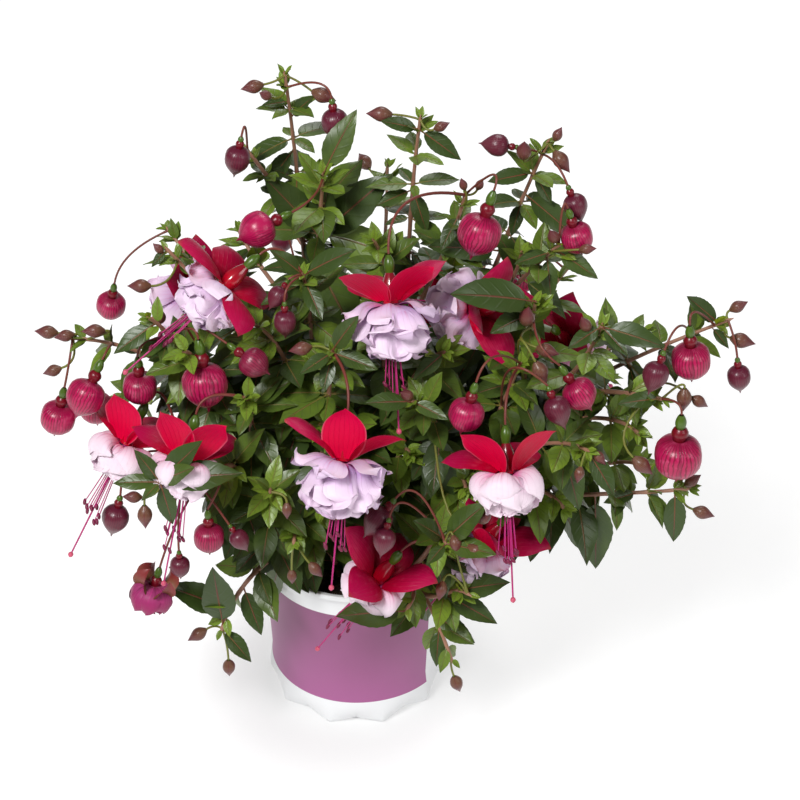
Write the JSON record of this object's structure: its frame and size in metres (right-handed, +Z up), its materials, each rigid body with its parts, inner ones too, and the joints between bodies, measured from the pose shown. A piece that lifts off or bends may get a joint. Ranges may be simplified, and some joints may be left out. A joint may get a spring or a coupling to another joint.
{
  "type": "potted fuchsia",
  "caption": "Bushy double-flowered fuchsia in a white nursery pot, with crimson sepals, lilac corollas, many hanging buds and a plain purple label panel.",
  "frame": {"origin": "centre of the pot's foot, on the surface that it stands on", "axes": "+Z up along the pot's axis, -Y towards the viewer of the picture"},
  "size_m": [0.4169, 0.3677, 0.4122],
  "materials": {
    "pot": "gloss",
    "soil": "matte",
    "leaf_and_stem": "satin",
    "calyx": "satin",
    "corolla": "matte",
    "bud": "satin"
  },
  "bodies": {
    "root": {"bloom_01_calyx": "calyx", "bloom_01_corolla": "corolla", "bloom_02_calyx": "calyx", "bloom_02_corolla": "corolla", "bloom_03_calyx": "calyx", "bloom_03_corolla": "corolla", "bloom_04_calyx": "calyx", "bloom_04_corolla": "corolla", "bloom_05_calyx": "calyx", "bloom_05_corolla": "corolla", "bloom_06_calyx": "calyx", "bloom_06_corolla": "corolla", "bloom_07_calyx": "calyx", "bloom_07_corolla": "corolla", "bloom_08_calyx": "calyx", "bloom_08_corolla": "corolla", "bloom_09_calyx": "calyx", "bloom_09_corolla": "corolla", "bloom_10_calyx": "calyx", "bloom_10_corolla": "corolla", "bloom_11_calyx": "calyx", "bloom_11_corolla": "corolla", "bloom_12_calyx": "calyx", "bloom_12_corolla": "corolla", "bud_01": "bud", "bud_02": "bud", "bud_03": "bud", "bud_04": "bud", "bud_05": "bud", "bud_06": "bud", "bud_07": "bud", "bud_08": "bud", "bud_09": "bud", "bud_10": "bud", "bud_11": "bud", "bud_12": "bud", "bud_13": "bud", "bud_14": "bud", "bud_15": "bud", "bud_16": "bud", "bud_17": "bud", "leafy_stem_01": "leaf_and_stem", "leafy_stem_02": "leaf_and_stem", "leafy_stem_03": "leaf_and_stem", "leafy_stem_04": "leaf_and_stem", "leafy_stem_05": "leaf_and_stem", "leafy_stem_06": "leaf_and_stem", "leafy_stem_07": "leaf_and_stem", "leafy_stem_08": "leaf_and_stem", "leafy_stem_09": "leaf_and_stem", "leafy_stem_10": "leaf_and_stem", "leafy_stem_11": "leaf_and_stem", "leafy_stem_12": "leaf_and_stem", "leafy_stem_13": "leaf_and_stem", "leafy_stem_14": "leaf_and_stem", "leafy_stem_15": "leaf_and_stem", "leafy_stem_16": "leaf_and_stem", "leafy_stem_17": "leaf_and_stem", "pot": "pot", "soil": "soil"}
  },
  "joints": []
}
